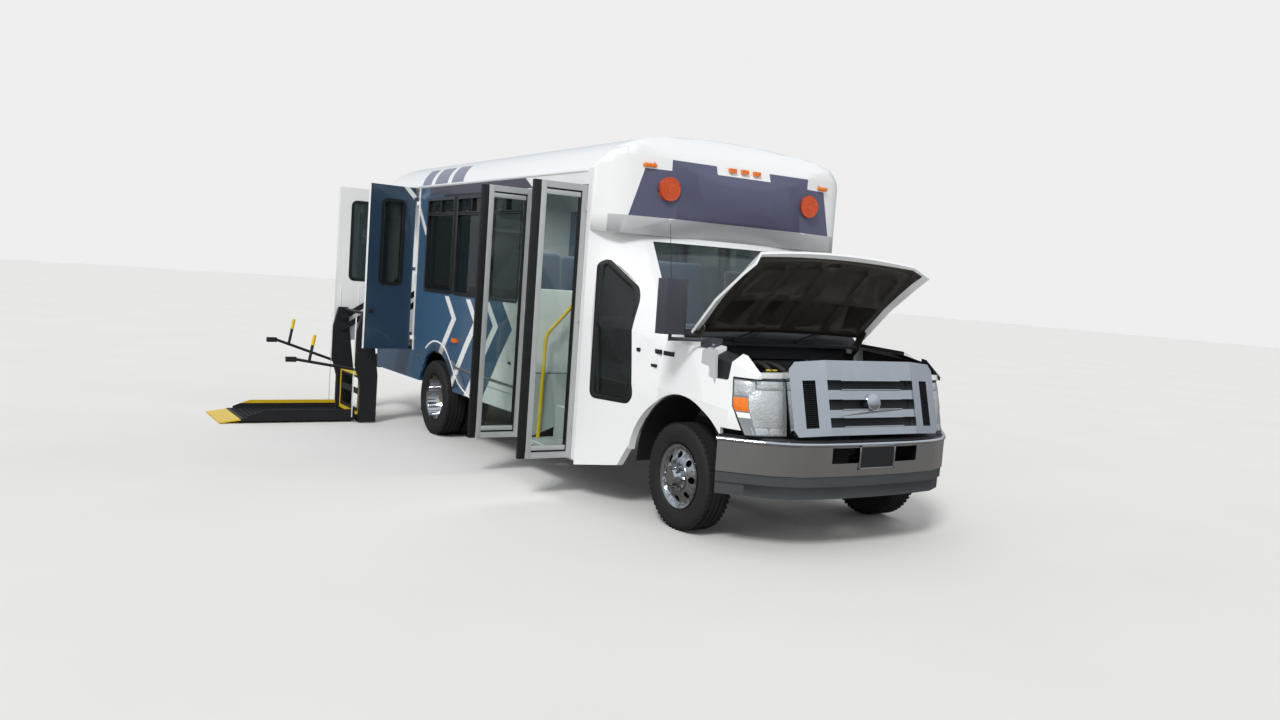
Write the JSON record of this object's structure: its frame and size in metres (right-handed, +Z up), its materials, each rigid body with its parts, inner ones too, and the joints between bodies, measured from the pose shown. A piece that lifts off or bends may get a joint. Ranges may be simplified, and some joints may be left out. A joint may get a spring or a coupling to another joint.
{
  "type": "minibus",
  "caption": "White and blue shuttle minibus on a van cab with folding entry doors and a deployed wheelchair lift, hood open.",
  "frame": {"origin": "bottom centre of the whole part's box, on the ground; because the open doors and the lift stand out on the right, the vehicle's centre plane lies at y = 0.9105 m and its front axle at x = 2.5420 m", "axes": "+X forward, +Y to the vehicle's left, +Z up"},
  "size_m": [6.876, 4.321, 2.84],
  "materials": {
    "tyre": "matte",
    "wheel_chrome": "polished",
    "iron": "rough",
    "chassis_black": "satin",
    "engine_black": "rough",
    "alloy": "satin",
    "body_white": "gloss",
    "floor_grey": "ribbed",
    "glass_clear": "clear",
    "frame_black": "satin",
    "glass_tint": "tinted",
    "cap_blue": "gloss",
    "lamp_amber": "gloss",
    "lamp_clear": "clear",
    "plastic_black": "matte",
    "chrome": "polished",
    "plastic_grey": "matte",
    "lamp_red": "gloss",
    "seat_fabric": "woven",
    "rail_yellow": "gloss",
    "lift_grey": "satin",
    "lift_yellow": "gloss"
  },
  "bodies": {
    "body": {"front_axle": "iron", "rear_axle": "iron", "frame_rails": "chassis_black", "crossmembers": "chassis_black", "engine": "engine_black", "exhaust": "alloy", "fuel_tank": "chassis_black", "roof": "body_white", "side_left": "body_white", "side_right": "body_white", "rear_wall": "body_white", "stepwell": "floor_grey", "cab_shell": "body_white", "floor": "floor_grey", "windshield": "glass_clear", "window_frames": "frame_black", "window_glass": "glass_tint", "front_cap": "cap_blue", "marker_lamps": "lamp_amber", "fenders": "body_white", "headlamps": "lamp_clear", "wheel_liners": "plastic_black", "grille": "chrome", "front_bumper": "chrome", "valance": "plastic_grey", "cowl": "plastic_black", "mirrors": "plastic_black", "rear_bumper": "chassis_black", "tail_lamps": "lamp_red", "dashboard": "plastic_grey", "driver_seat": "seat_fabric", "passenger_seats": "seat_fabric", "grab_rails": "rail_yellow", "lift_base": "lift_grey"},
    "hood": {"hood": "body_white"},
    "entry_leaf_front": {"entry_leaf_front": "frame_black", "entry_glass_front": "glass_tint"},
    "entry_leaf_rear": {"entry_leaf_rear": "frame_black", "entry_glass_rear": "glass_tint"},
    "lift_leaf_front": {"lift_leaf_front": "body_white"},
    "lift_leaf_rear": {"lift_leaf_rear": "body_white"},
    "driver_door": {"driver_door": "body_white", "driver_window": "glass_clear", "door_mirror": "plastic_black"},
    "knuckle_left": {"knuckle_left": "iron"},
    "knuckle_right": {"knuckle_right": "iron"},
    "wheel_front_left": {"wheel_front_left": "wheel_chrome", "tyre_front_left": "tyre"},
    "wheel_front_right": {"wheel_front_right": "wheel_chrome", "tyre_front_right": "tyre"},
    "wheels_rear_left": {"wheels_rear_left": "wheel_chrome", "tyres_rear_left": "tyre"},
    "wheels_rear_right": {"wheels_rear_right": "wheel_chrome", "tyres_rear_right": "tyre"},
    "lift_arms": {"lift_arms": "lift_grey"},
    "lift_links": {"lift_links": "lift_grey"},
    "lift_towers": {"lift_towers": "lift_grey"},
    "lift_platform": {"lift_platform": "lift_grey"},
    "lift_flap": {"lift_flap": "lift_yellow"},
    "lift_bridge": {"lift_bridge": "lift_yellow"}
  },
  "joints": [
    {"name": "steer_left", "type": "hinge", "parent": "body", "child": "knuckle_left", "pos_m": [2.542, 1.6105, 0.372], "axis": [0, 0, 1], "range_deg": [-32, 32]},
    {"name": "steer_right", "type": "hinge", "parent": "body", "child": "knuckle_right", "pos_m": [2.542, 0.2105, 0.372], "axis": [0, 0, 1], "range_deg": [-32, 32]},
    {"name": "spin_front_left", "type": "hinge", "parent": "knuckle_left", "child": "wheel_front_left", "pos_m": [2.542, 1.792, 0.372], "axis": [0, 1, 0], "continuous": true},
    {"name": "spin_front_right", "type": "hinge", "parent": "knuckle_right", "child": "wheel_front_right", "pos_m": [2.542, 0.029, 0.372], "axis": [0, 1, 0], "continuous": true},
    {"name": "spin_rear_left", "type": "hinge", "parent": "body", "child": "wheels_rear_left", "pos_m": [-1.471, 1.9, 0.372], "axis": [0, 1, 0], "continuous": true},
    {"name": "spin_rear_right", "type": "hinge", "parent": "body", "child": "wheels_rear_right", "pos_m": [-1.471, -0.079, 0.372], "axis": [0, 1, 0], "continuous": true},
    {"name": "hood_hinge", "type": "hinge", "parent": "body", "child": "hood", "pos_m": [2.342, 0.9105, 1.25], "axis": [0, -1, 0], "range_deg": [-47, 0]},
    {"name": "entry_front_hinge", "type": "hinge", "parent": "body", "child": "entry_leaf_front", "pos_m": [1.428, -0.2895, 1.34], "axis": [0, 0, 1], "range_deg": [-90, 0]},
    {"name": "entry_rear_hinge", "type": "hinge", "parent": "body", "child": "entry_leaf_rear", "pos_m": [0.496, -0.2895, 1.34], "axis": [0, 0, -1], "range_deg": [-90, 0]},
    {"name": "driver_door_hinge", "type": "hinge", "parent": "body", "child": "driver_door", "pos_m": [2.144, 1.9295, 1.1], "axis": [0, 0, -1], "range_deg": [0, 70]},
    {"name": "lift_leaf_front_hinge", "type": "hinge", "parent": "body", "child": "lift_leaf_front", "pos_m": [-2.158, -0.3205, 1.6], "axis": [0, 0, 1], "range_deg": [-7, 65]},
    {"name": "lift_leaf_rear_hinge", "type": "hinge", "parent": "body", "child": "lift_leaf_rear", "pos_m": [-3.208, -0.3205, 1.6], "axis": [0, 0, -1], "range_deg": [0, 75]},
    {"name": "lift_raise", "type": "hinge", "parent": "body", "child": "lift_arms", "pos_m": [-2.683, -0.13963, 1.32973], "axis": [-1, 0, 0], "range_deg": [0, 64]},
    {"name": "lift_link_pivot", "type": "hinge", "parent": "body", "child": "lift_links", "pos_m": [-2.683, -0.13963, 1.44973], "axis": [-1, 0, 0], "range_deg": [0, 64]},
    {"name": "lift_tower_pivot", "type": "hinge", "parent": "lift_arms", "child": "lift_towers", "pos_m": [-2.683, -0.7695, 0.93], "axis": [-1, 0, 0], "range_deg": [-64, 0]},
    {"name": "platform_fold", "type": "hinge", "parent": "lift_towers", "child": "lift_platform", "pos_m": [-2.683, -0.7945, 0.06], "axis": [-1, 0, 0], "range_deg": [0, 88]},
    {"name": "flap_fold", "type": "hinge", "parent": "lift_platform", "child": "lift_flap", "pos_m": [-2.683, -1.9705, 0.036], "axis": [-1, 0, 0], "range_deg": [0, 100]},
    {"name": "bridge_fold", "type": "hinge", "parent": "lift_towers", "child": "lift_bridge", "pos_m": [-2.683, -0.7805, 0.062], "axis": [-1, 0, 0], "range_deg": [0, 80]}
  ],
  "couplings": [
    {"joint": "steer_right", "follows": "steer_left", "ratio": 1},
    {"joint": "entry_rear_hinge", "follows": "entry_front_hinge", "ratio": 1},
    {"joint": "lift_link_pivot", "follows": "lift_raise", "ratio": 1},
    {"joint": "lift_tower_pivot", "follows": "lift_raise", "ratio": -1}
  ]
}
